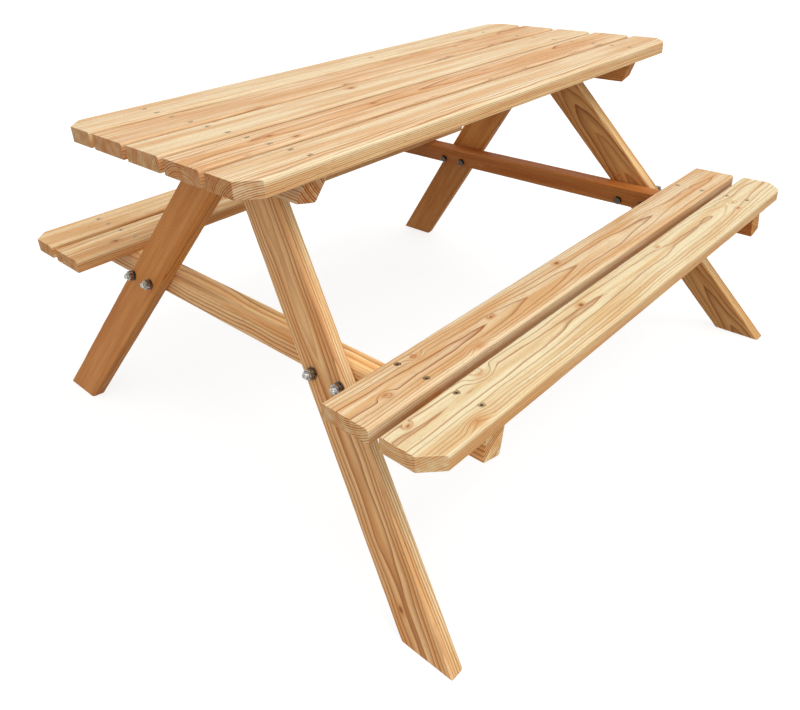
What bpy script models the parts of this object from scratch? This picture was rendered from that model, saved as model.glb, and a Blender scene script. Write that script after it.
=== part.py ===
"""A child's wooden picnic table: a slatted top and two slatted benches on two leaning end frames.

X runs along the table, Y across it and Z up, in metres, from the floor under the table's middle.

An end frame is drawn flat in axes of its own: U across the table, V up the boards' faces and W out
through them, from where the legs' outer face meets the underside of the top. Its legs pass inside
the batten under the top and outside the beam under the benches. The batten stands plumb over the
beam, so the frame leans, with its feet further out than its head.
"""

import math

import bmesh
import bpy
from mathutils import Matrix, Vector

# The table as a whole
TABLE_LENGTH = 0.900
TABLE_HEIGHT = 0.504
SEAT_HEIGHT = 0.288
CONTACT_GAP = 0.0003
EDGE_ROUNDING = 0.003
ROUNDING_STEPS = 3

# Slats of the top
TOP_SLAT_COUNT = 5
TOP_SLAT_WIDTH = 0.069
TOP_SLAT_THICKNESS = 0.020
TOP_SLAT_GAP = 0.009

# Slats of each bench
BENCH_SLAT_COUNT = 2
BENCH_SLAT_WIDTH = 0.069
BENCH_SLAT_THICKNESS = 0.020
BENCH_SLAT_GAP = 0.014
BENCH_INNER_EDGE = 0.267

# What is cut off the outer corners of the top and of the benches
CORNER_CLIP = 0.023

# Battens under the top and beams under the benches
BATTEN_THICKNESS = 0.029
BATTEN_HEIGHT = 0.038
BATTEN_END_SLANT = 0.018
BATTEN_SIDE_INSET = 0.0105
BATTEN_END_INSET = 0.086
BEAM_THICKNESS = 0.030
BEAM_HEIGHT = 0.039
BEAM_LENGTH = 0.830

# Legs
LEG_THICKNESS = 0.020
LEG_WIDTH = 0.062
LEG_HEAD_SPREAD = 0.111
FEET_SPREAD = 0.871
TOE_CLIP = 0.003

# Hexagon bolts with a nut and a washer
BOLT_DIAMETER = 0.008
BOLT_LENGTH = 0.064
BOLT_HEAD_HEIGHT = 0.0053
BOLT_END_CHAMFER = 0.0008
BOLT_HOLE_GAP = 0.0003
HEXAGON_WIDTH = 0.013
HEXAGON_RIM = 0.95
NUT_HEIGHT = 0.0065
WASHER_DIAMETER = 0.016
WASHER_THICKNESS = 0.0016
BOLT_SIDES = 12

# Where the bolts through a leg and the beam stand, from the leg's edges and the beam's underside
BOLT_OUTER_MARGIN = 0.0115
BOLT_INNER_MARGIN = 0.020
BOLT_RISE = 0.012

# Holes for countersunk screws, two where a slat crosses a batten or a beam
SCREW_HOLE_DIAMETER = 0.0046
SCREW_HOLE_LENGTH = 0.034
COUNTERSINK_DIAMETER = 0.0086
COUNTERSINK_STRAIGHT = 0.0004
SCREW_MARGIN = 0.0135
SCREW_HOLE_SIDES = 10

# Outer faces along W, and the lean that sets the batten plumb over the beam
LEG_INNER_W = -LEG_THICKNESS
BATTEN_INNER_W = CONTACT_GAP
BATTEN_OUTER_W = BATTEN_INNER_W + BATTEN_THICKNESS
BEAM_OUTER_W = LEG_INNER_W - CONTACT_GAP
BEAM_INNER_W = BEAM_OUTER_W - BEAM_THICKNESS
BATTEN_TOP = TABLE_HEIGHT - TOP_SLAT_THICKNESS - CONTACT_GAP
BEAM_TOP = SEAT_HEIGHT - BENCH_SLAT_THICKNESS - CONTACT_GAP
LEAN = math.asin((BATTEN_OUTER_W - BEAM_OUTER_W) / (BATTEN_TOP - BEAM_TOP))

# Places along the table
BATTEN_OUTER_X = TABLE_LENGTH / 2 - BATTEN_END_INSET
FRAME_X = BATTEN_OUTER_X - BATTEN_OUTER_W / math.cos(LEAN)
BATTEN_SCREW_X = BATTEN_OUTER_X - BATTEN_THICKNESS / math.cos(LEAN) / 2
BEAM_SCREW_X = BATTEN_OUTER_X - BEAM_THICKNESS / math.cos(LEAN) / 2

# Places across the table, and how far a leg moves outward for each metre down its face
TOP_WIDTH = TOP_SLAT_COUNT * TOP_SLAT_WIDTH + (TOP_SLAT_COUNT - 1) * TOP_SLAT_GAP
FEET_EDGE = FEET_SPREAD / 2 + TOE_CLIP
LEG_SLOPE = (FEET_EDGE - LEG_HEAD_SPREAD / 2) / BATTEN_TOP * math.cos(LEAN)
LEG_WIDTH_ACROSS = LEG_WIDTH * math.hypot(1, LEG_SLOPE)


# Points of an end frame


def frame_matrix(end):
    """Places a frame's axes in the table: end is 1 at +X and -1 at -X, half a turn round Z apart."""
    lean_sin = math.sin(LEAN)
    lean_cos = math.cos(LEAN)
    return Matrix((
        (0, -end * lean_sin, end * lean_cos, end * FRAME_X),
        (end, 0, 0, 0),
        (0, lean_cos, lean_sin, BATTEN_TOP),
        (0, 0, 0, 1),
    ))


def height_to_v(height, w):
    """V of the point at W and at a height above the floor."""
    return (height - BATTEN_TOP - w * math.sin(LEAN)) / math.cos(LEAN)


def leg_outer_u(v):
    """Distance at V from the middle of the frame to a leg's outer edge."""
    return LEG_HEAD_SPREAD / 2 - LEG_SLOPE * v


BATTEN_UNDERSIDE_V = height_to_v(BATTEN_TOP, BATTEN_INNER_W) - BATTEN_HEIGHT
BEAM_UNDERSIDE_V = height_to_v(BEAM_TOP, BEAM_INNER_W) - BEAM_HEIGHT


# Building blocks


def linear(channel):
    """An sRGB channel as the linear value that a shader takes."""
    return channel / 12.92 if channel <= 0.04045 else ((channel + 0.055) / 1.055) ** 2.4


def paint(obj, colour, roughness, metallic):
    """Gives the object a material of its own, from an sRGB colour written as RRGGBB."""
    material = bpy.data.materials.new(obj.name)
    material.use_nodes = True
    shader = material.node_tree.nodes["Principled BSDF"]
    rgb = [linear(int(colour[i : i + 2], 16) / 255) for i in (0, 2, 4)]
    shader.inputs["Base Color"].default_value = (*rgb, 1)
    shader.inputs["Roughness"].default_value = roughness
    shader.inputs["Metallic"].default_value = metallic
    obj.data.materials.append(material)


def add_object(name, bm, parent=None):
    """Turns a bmesh into a smooth-shaded object with its faces pointing out, and frees it."""
    bmesh.ops.recalc_face_normals(bm, faces=bm.faces)
    mesh = bpy.data.meshes.new(name)
    bm.to_mesh(mesh)
    bm.free()
    mesh.shade_smooth()
    mesh.set_sharp_from_angle(angle=math.radians(40))
    obj = bpy.data.objects.new(name, mesh)
    obj.parent = parent
    bpy.context.scene.collection.objects.link(obj)
    return obj


def carve(obj, holes):
    """Cuts the closed shapes of a bmesh, in the object's own axes, out of the object."""
    cutter = add_object("holes_" + obj.name, holes, obj.parent)
    cutter.location = obj.location
    cutter.hide_render = True
    cutter.display_type = "WIRE"
    modifier = obj.modifiers.new("holes", "BOOLEAN")
    modifier.operation = "DIFFERENCE"
    modifier.solver = "EXACT"
    modifier.object = cutter


def prism(outline, low, high):
    """A solid with this outline in the first two axes, from low to high along the third."""
    bm = bmesh.new()
    face = bm.faces.new([bm.verts.new((a, b, low)) for a, b in outline])
    extruded = bmesh.ops.extrude_face_region(bm, geom=[face])["geom"]
    moved = [item for item in extruded if isinstance(item, bmesh.types.BMVert)]
    bmesh.ops.translate(bm, verts=moved, vec=(0, 0, high - low))
    return bm


def saw(bm, point, normal):
    """Cuts off what lies past a plane, on its normal's side, and closes the cut."""
    whole = bm.verts[:] + bm.edges[:] + bm.faces[:]
    cut = bmesh.ops.bisect_plane(bm, geom=whole, plane_co=point, plane_no=normal, clear_outer=True)
    rim = [item for item in cut["geom_cut"] if isinstance(item, bmesh.types.BMEdge)]
    bmesh.ops.contextual_create(bm, geom=rim)


def saw_level(bm, height, side):
    """Saws a piece of a frame level at a height, taking off what is above it or, at -1, below it."""
    normal = Vector((0, math.cos(LEAN), math.sin(LEAN)))
    saw(bm, (0, height_to_v(height, 0), 0), side * normal)


def round_edges(bm, direction):
    """Rounds every edge that runs along a direction."""
    along = Vector(direction).normalized()
    edges = []
    for edge in bm.edges:
        run = (edge.verts[1].co - edge.verts[0].co).normalized()
        if abs(run.dot(along)) > 0.9999:
            edges.append(edge)
    bmesh.ops.bevel(
        bm,
        geom=edges,
        offset=EDGE_ROUNDING,
        segments=ROUNDING_STEPS,
        profile=0.5,
        affect="EDGES",
    )


def ring(bm, place, corners):
    """One vertex for each (radius, height), evenly round the place's Z axis."""
    turn = 2 * math.pi / len(corners)
    verts = []
    for i, (radius, height) in enumerate(corners):
        spot = Vector((radius * math.cos(i * turn), radius * math.sin(i * turn), height))
        verts.append(bm.verts.new(place @ spot))
    return verts


def skin(bm, rings):
    """Joins each ring to the next with faces. A ring of one vertex is a point on the axis."""
    for near, far in zip(rings, rings[1:]):
        for i in range(max(len(near), len(far))):
            corners = []
            for verts, step in ((near, i), (near, i + 1), (far, i + 1), (far, i)):
                vert = verts[step % len(verts)]
                if vert not in corners:
                    corners.append(vert)
            bm.faces.new(corners)


def turn_shape(bm, place, profile, sides):
    """A solid turned round the place's Z axis from (radius, height) pairs, ending on the axis."""
    skin(bm, [ring(bm, place, [pair] * (sides if pair[0] else 1)) for pair in profile])


# Bolts, nuts and washers


def hexagon(height, chamfer):
    """Corners and side middles of a hexagon, moved by a 30 degree chamfer: 1 is down and -1 is up."""
    middle = HEXAGON_WIDTH / 2
    corners = []
    for i in range(BOLT_SIDES):
        radius = middle if i % 2 else middle / math.cos(math.pi / 6)
        drop = (radius - HEXAGON_RIM * middle) * math.tan(math.pi / 6)
        corners.append((radius, height - chamfer * drop))
    return corners


def hexagon_rim(height):
    """The circle where a hexagon's chamfer meets its end face."""
    return [(HEXAGON_RIM * HEXAGON_WIDTH / 2, height)] * BOLT_SIDES


def bolt_shape():
    """A hexagon bolt along Z, with the underside of its head at 0."""
    bm = bmesh.new()
    here = Matrix()
    shank = BOLT_DIAMETER / 2
    skin(bm, [
        ring(bm, here, [(0, -BOLT_HEAD_HEIGHT)]),
        ring(bm, here, hexagon_rim(-BOLT_HEAD_HEIGHT)),
        ring(bm, here, hexagon(-BOLT_HEAD_HEIGHT, -1)),
        ring(bm, here, hexagon(0, 0)),
        ring(bm, here, [(shank, 0)] * BOLT_SIDES),
        ring(bm, here, [(shank, BOLT_LENGTH - BOLT_END_CHAMFER)] * BOLT_SIDES),
        ring(bm, here, [(shank - BOLT_END_CHAMFER, BOLT_LENGTH)] * BOLT_SIDES),
        ring(bm, here, [(0, BOLT_LENGTH)]),
    ])
    return bm


def nut_shape():
    """A hexagon nut along Z, standing on 0."""
    bm = bmesh.new()
    here = Matrix()
    bore = BOLT_DIAMETER / 2 + BOLT_HOLE_GAP
    rings = [
        ring(bm, here, [(bore, 0)] * BOLT_SIDES),
        ring(bm, here, hexagon_rim(0)),
        ring(bm, here, hexagon(0, -1)),
        ring(bm, here, hexagon(NUT_HEIGHT, 1)),
        ring(bm, here, hexagon_rim(NUT_HEIGHT)),
        ring(bm, here, [(bore, NUT_HEIGHT)] * BOLT_SIDES),
    ]
    skin(bm, [*rings, rings[0]])
    return bm


def washer_shape():
    """A flat washer round Z, lying on 0."""
    bm = bmesh.new()
    bore = BOLT_DIAMETER / 2 + BOLT_HOLE_GAP
    rim = WASHER_DIAMETER / 2
    corners = [(bore, 0), (rim, 0), (rim, WASHER_THICKNESS), (bore, WASHER_THICKNESS)]
    rings = [ring(bm, Matrix(), [corner] * BOLT_SIDES) for corner in corners]
    skin(bm, [*rings, rings[0]])
    return bm


def bolt_holes(joints):
    """Cutters for the joints' bolts, each a bolt's diameter longer at both ends than the bolt."""
    bm = bmesh.new()
    radius = BOLT_DIAMETER / 2 + BOLT_HOLE_GAP
    low = -BOLT_DIAMETER
    high = BOLT_LENGTH + BOLT_DIAMETER
    for _, spot, inner_w, _ in joints:
        place = Matrix.Translation((*spot, inner_w))
        turn_shape(bm, place, [(0, low), (radius, low), (radius, high), (0, high)], BOLT_SIDES)
    return bm


def leg_joints(side):
    """The bolted joints of one leg: name, U and V of the bolt, and W of the wood's two outer faces."""
    low_v = BEAM_UNDERSIDE_V + BOLT_RISE
    high_v = (height_to_v(BATTEN_TOP, BATTEN_OUTER_W) + BATTEN_UNDERSIDE_V) / 2
    outer_u = leg_outer_u(low_v) - BOLT_OUTER_MARGIN
    inner_u = leg_outer_u(low_v) - LEG_WIDTH_ACROSS + BOLT_INNER_MARGIN
    head_u = leg_outer_u(high_v) / 2
    return [
        ("outer", (side * outer_u, low_v), BEAM_INNER_W, 0),
        ("inner", (side * inner_u, low_v), BEAM_INNER_W, 0),
        ("head", (side * head_u, high_v), LEG_INNER_W, BATTEN_OUTER_W),
    ]


def add_bolts(leg_name, side, frame):
    """Puts a bolt in each of a leg's joints, head inside, with a washer and a nut outside."""
    for joint_name, spot, inner_w, outer_w in leg_joints(side):
        washer_w = outer_w + CONTACT_GAP
        nut_w = washer_w + WASHER_THICKNESS + CONTACT_GAP
        pieces = (
            ("bolt", bolt_shape(), inner_w - CONTACT_GAP, "B9B6AE"),
            ("washer", washer_shape(), washer_w, "C4C1B8"),
            ("nut", nut_shape(), nut_w, "BDBAB2"),
        )
        for kind, shape, w, colour in pieces:
            piece = add_object(f"{kind}_{leg_name}_{joint_name}", shape, frame)
            piece.location = (*spot, w)
            paint(piece, colour, 0.32, 1)


# Slats and their screw holes


def top_slat_y(index):
    """Y of the middle of a slat of the top, counted from -Y."""
    return (index - (TOP_SLAT_COUNT - 1) / 2) * (TOP_SLAT_WIDTH + TOP_SLAT_GAP)


def bench_slat_y(index):
    """Distance from the middle of the table to that of a bench slat, counted outward."""
    return BENCH_INNER_EDGE + BENCH_SLAT_WIDTH / 2 + index * (BENCH_SLAT_WIDTH + BENCH_SLAT_GAP)


def top_slats():
    """Middle and clipped side of each slat of the top."""
    sides = [0] * TOP_SLAT_COUNT
    sides[0] = -1
    sides[-1] = 1
    return [(top_slat_y(index), side) for index, side in enumerate(sides)]


def bench_slats(hand):
    """Middle and clipped side of each slat of the bench on one side of Y, counted outward."""
    sides = [0] * BENCH_SLAT_COUNT
    sides[-1] = hand
    return [(hand * bench_slat_y(index), side) for index, side in enumerate(sides)]


def screw_ys(width, clipped_side):
    """Where a slat's two screws stand across it: on a clipped side, as far in as the clip reaches."""
    ys = []
    for side in (-1, 1):
        margin = CORNER_CLIP if side == clipped_side else SCREW_MARGIN
        ys.append(side * (width / 2 - margin))
    return ys


def screw_holes(spots, axes):
    """Cutters for screws driven down from spots of the table, given in an object's own axes."""
    bm = bmesh.new()
    head = COUNTERSINK_DIAMETER / 2
    shank = SCREW_HOLE_DIAMETER / 2
    profile = [
        (0, head),
        (head, head),
        (head, -COUNTERSINK_STRAIGHT),
        (shank, shank - head - COUNTERSINK_STRAIGHT),
        (shank, -SCREW_HOLE_LENGTH),
        (0, -SCREW_HOLE_LENGTH),
    ]
    for spot in spots:
        place = axes.inverted() @ Matrix.Translation(spot)
        turn_shape(bm, place, profile, SCREW_HOLE_SIDES)
    return bm


def slat_outline(length, width, clipped_side):
    """Outline round a slat's middle, with both corners cut off on the clipped side of Y."""
    outline = []
    for x_side, y_side in ((-1, -1), (1, -1), (1, 1), (-1, 1)):
        x = x_side * length / 2
        y = y_side * width / 2
        if y_side != clipped_side:
            outline.append((x, y))
            continue
        clip = [(x, y - y_side * CORNER_CLIP), (x - x_side * CORNER_CLIP, y)]
        outline += clip if x_side == y_side else reversed(clip)
    return outline


def add_slat(name, place, clipped_side, size, screw_x):
    """A slat with its upper face at a place, rounded long edges and two screw holes at each end."""
    length, width, thickness = size
    bm = prism(slat_outline(length, width, clipped_side), -thickness, 0)
    round_edges(bm, (1, 0, 0))
    slat = add_object(name, bm)
    slat.location = place
    ys = screw_ys(width, clipped_side)
    carve(slat, screw_holes([(x, y, 0) for x in (-screw_x, screw_x) for y in ys], Matrix()))
    paint(slat, "DDB887", 0.55, 0)


def add_top():
    size = (TABLE_LENGTH, TOP_SLAT_WIDTH, TOP_SLAT_THICKNESS)
    for index, (middle, side) in enumerate(top_slats()):
        place = (0, middle, TABLE_HEIGHT)
        add_slat(f"top_slat_{index + 1}", place, side, size, BATTEN_SCREW_X)


def add_bench(hand, side_name):
    size = (TABLE_LENGTH, BENCH_SLAT_WIDTH, BENCH_SLAT_THICKNESS)
    for index, (middle, side) in enumerate(bench_slats(hand)):
        place = (0, middle, SEAT_HEIGHT)
        add_slat(f"bench_{side_name}_slat_{index + 1}", place, side, size, BEAM_SCREW_X)


# End frames


def add_leg(name, side, frame):
    """A slanted board, level at floor and head, plumb at the toe and where it meets its twin."""
    low = height_to_v(0, 0) - LEG_WIDTH
    high = LEG_WIDTH
    outline = [
        (side * leg_outer_u(low), low),
        (side * leg_outer_u(high), high),
        (side * (leg_outer_u(high) - LEG_WIDTH_ACROSS), high),
        (side * (leg_outer_u(low) - LEG_WIDTH_ACROSS), low),
    ]
    bm = prism(outline, LEG_INNER_W, 0)
    round_edges(bm, (side * LEG_SLOPE, -1, 0))
    saw_level(bm, 0, -1)
    saw_level(bm, BATTEN_TOP, 1)
    saw(bm, (side * CONTACT_GAP / 2, 0, 0), (-side, 0, 0))
    saw(bm, (side * FEET_SPREAD / 2, 0, 0), (side, 0, 0))
    leg = add_object(name, bm, frame)
    carve(leg, bolt_holes(leg_joints(side)))
    paint(leg, "C9975F", 0.6, 0)


def add_batten(name, end, frame):
    """The bar under the top, outside the legs, sawn level on top and slanted at its ends."""
    top_v = height_to_v(BATTEN_TOP, BATTEN_INNER_W)
    half = TOP_WIDTH / 2 - BATTEN_SIDE_INSET
    foot = half - BATTEN_END_SLANT
    outline = [(-half, top_v), (-foot, BATTEN_UNDERSIDE_V), (foot, BATTEN_UNDERSIDE_V), (half, top_v)]
    bm = prism(outline, BATTEN_INNER_W, BATTEN_OUTER_W)
    saw_level(bm, BATTEN_TOP, 1)
    round_edges(bm, (1, 0, 0))
    batten = add_object(name, bm, frame)
    carve(batten, bolt_holes([leg_joints(side)[-1] for side in (-1, 1)]))
    spots = []
    for middle, clipped_side in top_slats():
        for y in screw_ys(TOP_SLAT_WIDTH, clipped_side):
            spots.append((end * BATTEN_SCREW_X, middle + y, TABLE_HEIGHT))
    carve(batten, screw_holes(spots, frame_matrix(end)))
    paint(batten, "C9975F", 0.6, 0)


def add_beam(name, end, frame):
    """The bar that carries both benches, inside the legs, sawn level on top."""
    top_v = height_to_v(BEAM_TOP, BEAM_INNER_W)
    half = BEAM_LENGTH / 2
    outline = [(-half, top_v), (-half, BEAM_UNDERSIDE_V), (half, BEAM_UNDERSIDE_V), (half, top_v)]
    bm = prism(outline, BEAM_INNER_W, BEAM_OUTER_W)
    saw_level(bm, BEAM_TOP, 1)
    round_edges(bm, (1, 0, 0))
    beam = add_object(name, bm, frame)
    carve(beam, bolt_holes(leg_joints(-1)[:2] + leg_joints(1)[:2]))
    spots = []
    for middle, clipped_side in bench_slats(-1) + bench_slats(1):
        for y in screw_ys(BENCH_SLAT_WIDTH, clipped_side):
            spots.append((end * BEAM_SCREW_X, middle + y, SEAT_HEIGHT))
    carve(beam, screw_holes(spots, frame_matrix(end)))
    paint(beam, "C08A52", 0.6, 0)


def add_end_frame(end, end_name):
    """The batten, beam, legs and bolts of one end."""
    frame = bpy.data.objects.new("end_frame_" + end_name, None)
    frame.matrix_world = frame_matrix(end)
    bpy.context.scene.collection.objects.link(frame)
    add_batten("batten_" + end_name, end, frame)
    add_beam("beam_" + end_name, end, frame)
    for hand, side_name in ((1, "left"), (-1, "right")):
        leg_name = f"{end_name}_{side_name}"
        add_leg("leg_" + leg_name, end * hand, frame)
        add_bolts(leg_name, end * hand, frame)


def main():
    for obj in list(bpy.data.objects):
        bpy.data.objects.remove(obj, do_unlink=True)
    add_top()
    add_bench(1, "left")
    add_bench(-1, "right")
    add_end_frame(-1, "near")
    add_end_frame(1, "far")


main()
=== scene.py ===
"""A child's wooden picnic table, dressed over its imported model.

Lengths are in metres. X runs along the table, Y across it and Z up. A board has axes of its own:
X along the grain, Y across its width and Z out of its show face, which lies at 0. Its wood is sawn
from a log, so its growth rings run through it from face to end, round a pith of its own.
"""

import math
import random

import bmesh
import bpy
from mathutils import Matrix, Vector, noise


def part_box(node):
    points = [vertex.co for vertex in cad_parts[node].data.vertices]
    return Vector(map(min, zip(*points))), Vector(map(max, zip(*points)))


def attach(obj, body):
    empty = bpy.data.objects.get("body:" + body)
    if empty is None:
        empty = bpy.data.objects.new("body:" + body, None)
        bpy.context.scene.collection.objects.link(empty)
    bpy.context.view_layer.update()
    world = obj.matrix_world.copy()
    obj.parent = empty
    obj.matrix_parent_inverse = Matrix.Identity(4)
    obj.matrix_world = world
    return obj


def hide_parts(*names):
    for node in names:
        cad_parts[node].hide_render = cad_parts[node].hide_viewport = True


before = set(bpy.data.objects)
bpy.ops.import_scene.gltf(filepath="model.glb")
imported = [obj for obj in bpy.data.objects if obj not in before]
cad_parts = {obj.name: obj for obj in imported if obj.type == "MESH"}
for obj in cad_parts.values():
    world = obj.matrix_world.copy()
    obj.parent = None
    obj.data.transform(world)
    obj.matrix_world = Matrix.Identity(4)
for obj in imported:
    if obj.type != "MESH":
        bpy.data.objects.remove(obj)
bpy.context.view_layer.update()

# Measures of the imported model
TABLE_LENGTH = 0.900
TABLE_HEIGHT = 0.504
SEAT_HEIGHT = 0.288
SLAT_THICKNESS = 0.020
TOP_WIDTH = 0.381
CONTACT_GAP = 0.0003
CORNER_CLIP = 0.023
BATTEN_THICKNESS = 0.029
BATTEN_HEIGHT = 0.038
BATTEN_END_SLANT = 0.018
BATTEN_SIDE_INSET = 0.0105
BATTEN_END_INSET = 0.086
BEAM_THICKNESS = 0.030
BEAM_HEIGHT = 0.039
BEAM_LENGTH = 0.830
LEG_THICKNESS = 0.020
LEG_WIDTH = 0.062
LEG_HEAD_SPREAD = 0.111
FEET_SPREAD = 0.871
TOE_CLIP = 0.003
BOLT_LENGTH = 0.064
BOLT_HOLE = 0.0086
BOLT_HEAD_HEIGHT = 0.0053
HEXAGON_WIDTH = 0.013
NUT_HEIGHT = 0.0065
WASHER_THICKNESS = 0.0016
BOLT_OUTER_MARGIN = 0.0115
BOLT_INNER_MARGIN = 0.020
BOLT_RISE = 0.012
SCREW_MARGIN = 0.0135
COUNTERSINK = 0.0086
SCREW_HOLE = 0.0046
SCREW_HOLE_LENGTH = 0.034
COUNTERSINK_STRAIGHT = 0.0004

BATTEN_TOP = TABLE_HEIGHT - SLAT_THICKNESS - CONTACT_GAP
BEAM_TOP = SEAT_HEIGHT - SLAT_THICKNESS - CONTACT_GAP
BATTEN_INNER_W = CONTACT_GAP
BATTEN_OUTER_W = BATTEN_INNER_W + BATTEN_THICKNESS
BEAM_OUTER_W = -LEG_THICKNESS - CONTACT_GAP
BEAM_INNER_W = BEAM_OUTER_W - BEAM_THICKNESS
LEAN = math.asin((BATTEN_OUTER_W - BEAM_OUTER_W) / (BATTEN_TOP - BEAM_TOP))
BATTEN_OUTER_X = TABLE_LENGTH / 2 - BATTEN_END_INSET
FRAME_X = BATTEN_OUTER_X - BATTEN_OUTER_W / math.cos(LEAN)
BATTEN_SCREW_X = BATTEN_OUTER_X - BATTEN_THICKNESS / math.cos(LEAN) / 2
BEAM_SCREW_X = BATTEN_OUTER_X - BEAM_THICKNESS / math.cos(LEAN) / 2
FEET_EDGE = FEET_SPREAD / 2 + TOE_CLIP
LEG_SLOPE = (FEET_EDGE - LEG_HEAD_SPREAD / 2) / BATTEN_TOP * math.cos(LEAN)
LEG_WIDTH_ACROSS = LEG_WIDTH * math.hypot(1, LEG_SLOPE)

# How the boards are finished
TOP_ARRIS = 0.0032
BENCH_ARRIS = 0.0044
LOWER_ARRIS = 0.0015
FRAME_ARRIS = 0.0034
ARRIS_STEPS = 6
SAWN_ARRIS = 0.0007
STATION = 0.012
ARRIS_WEAR = 0.0005
FACE_WEAR = 0.00008

# Wear comes in hollows, so many to a metre along a board, across it and through it
BROAD_HOLLOWS = (14, 40, 40)
CLOSE_HOLLOWS = (60, 60, 60)

# A sawn end faces along the board at least this much, is at least this large, and has edges this sharp
SAWN_FACING = 0.35
SAWN_AREA = 4e-5
SAWN_SHARPNESS = 0.6

# How near two places or two directions are when they count as the same, and where shading breaks
SAME_PLACE = 1e-6
SAME_DIRECTION = 0.9999
SHARP_EDGE = math.radians(32)

# Where the drill for a bolt starts and stops along it
BOLT_DRILL_START = -0.01
BOLT_DRILL_STOP = 0.075

# How finely round things are drawn: their sides, and the rings to a turn of a thread
DRILL_SIDES = 32
STEEL_SIDES = 48
SCREW_SIDES = 36
THREAD_RINGS = 7

# Bolts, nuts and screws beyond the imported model
BOLT_RADIUS = 0.0040
HEXAGON_RIM = 0.47 * HEXAGON_WIDTH
HEXAGON_CORNER = 1.12
NUT_BORE = 0.0041
NUT_COUNTERSINK = 0.0046
NUT_COUNTERSINK_DEPTH = 0.0006
SCREW_HEAD_RADIUS = 0.0040
SCREW_RECESS_DEPTH = 0.0019

# V of the middle of a leg, where its own axes start
LEG_MIDDLE_V = -0.25

# Tones of the wood: two of the pale early wood, one of the dark late wood. The darker, redder tones given to
# the far frame's boards are partly painted shade, for the shade under the top, and the bright tone of the left
# bench's slats is partly painted light.
TONES = {
    "straw": ("E2D2AB", "D5B381", "9C5412"),
    "wheat": ("E6D4AE", "D9B181", "9A5010"),
    "barley": ("EED0A0", "DDA96E", "964C0E"),
    "oat": ("E2CAA3", "D3A672", "964C0E"),
    "honey": ("E0C29A", "D09E6A", "964C0E"),
    "amber": ("EABD85", "DB9A5C", "8F4810"),
    "fawn": ("E3B680", "D2975C", "8F4810"),
    "russet": ("D29C60", "C28346", "82400E"),
    "copper": ("CF8C4A", "BF7633", "7C3C0C"),
    "chestnut": ("C07838", "B06326", "70340C"),
}

# How much of the wood's colour a sawn end gives back, or a ripped edge away from its arris. On a sawn end
# this is partly the end grain's own darkness and partly painted light and shade; on a ripped edge it is
# painted light and shade, paler where a narrow face stands in the light and darker where it stands in a gap.
TINTS = {
    "dusky": (0.70, 0.47, 0.30),
    "dark": (0.78, 0.61, 0.47),
    "buff": (0.92, 0.80, 0.66),
    "tawny": (0.92, 0.70, 0.52),
    "cream": (1.0, 0.92, 0.82),
    "warm": (0.92, 0.77, 0.60),
    "ruddy": (0.84, 0.62, 0.44),
    "umber": (0.66, 0.50, 0.35),
    "plain": (1.0, 1.0, 1.0),
    "pale": (1.12, 1.36, 1.6),
    "whiter": (1.4, 1.65, 1.8),
    "whitest": (1.3, 1.8, 2.5),
}

# The wood's patterns: the size of their grains along a board, across it and through it, in millimetres
DRIFT = (300, 110, 110)
WOBBLE = (70, 24, 24)
FLAME = (260, 15, 15)
FIBRE = (46, 1.1, 1.1)
RESIN_POCKET = (9, 1.0, 1.0)

# Knots: how many times as long as wide, how far their rims stray in millimetres, how little they change with
# depth, and the colours of the wood round them and of their hearts
KNOT_LENGTH = 1.7
KNOT_STRAY = (5, 3, 3)
KNOT_DEPTH_SCALE = 0.02
KNOT_AMBER = "C07E42"
KNOT_HEART = "844E24"

# How deep below the show face the tint of a ripped edge sets in, in millimetres; the tint is painted light and
# shade
EDGE_BELOW = 3.0

# The painted shade of a screw's recess and of a bolt's head, and the card of the floor
PAINTED_SHADE_BROWN = "34231A"
CARD_GREY = "959593"

# Strength of the white room's light on things, where 1 is what the camera sees
ROOM_LIGHT = 0.79


# Materials


def linear(colour):
    """An sRGB colour written as RRGGBB, as the linear colour that a shader takes."""
    channels = [int(colour[i : i + 2], 16) / 255 for i in (0, 2, 4)]
    return (*[c / 12.92 if c <= 0.04045 else ((c + 0.055) / 1.055) ** 2.4 for c in channels], 1)


def node(tree, kind, inputs=None, **settings):
    """Adds a shader node with its settings, fills its inputs and returns its outputs.

    An input takes a value or another node's output. It is named, or numbered in sums, ranges and mixes: 0 to 2
    are what a sum works on, 0 is a range's value and 1 to 4 its ends before and after, and 0 is a mix's share,
    with 2 and 3 its two numbers or 6 and 7 its two colours.
    """
    made = tree.nodes.new("ShaderNode" + kind)
    for name, value in settings.items():
        setattr(made, name, value)
    for key, value in (inputs or {}).items():
        if isinstance(value, bpy.types.NodeSocket):
            tree.links.new(value, made.inputs[key])
        else:
            made.inputs[key].default_value = value
    return made.outputs


def bare_material(name):
    """A material with no nodes in it yet, and its node tree."""
    material = bpy.data.materials.new(name)
    material.use_nodes = True
    material.node_tree.nodes.clear()
    return material, material.node_tree


def per_millimetre(sizes):
    """Scale of a pattern whose grains have these sizes in millimetres, along, across and through a board."""
    return tuple(1 / size for size in sizes)


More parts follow.
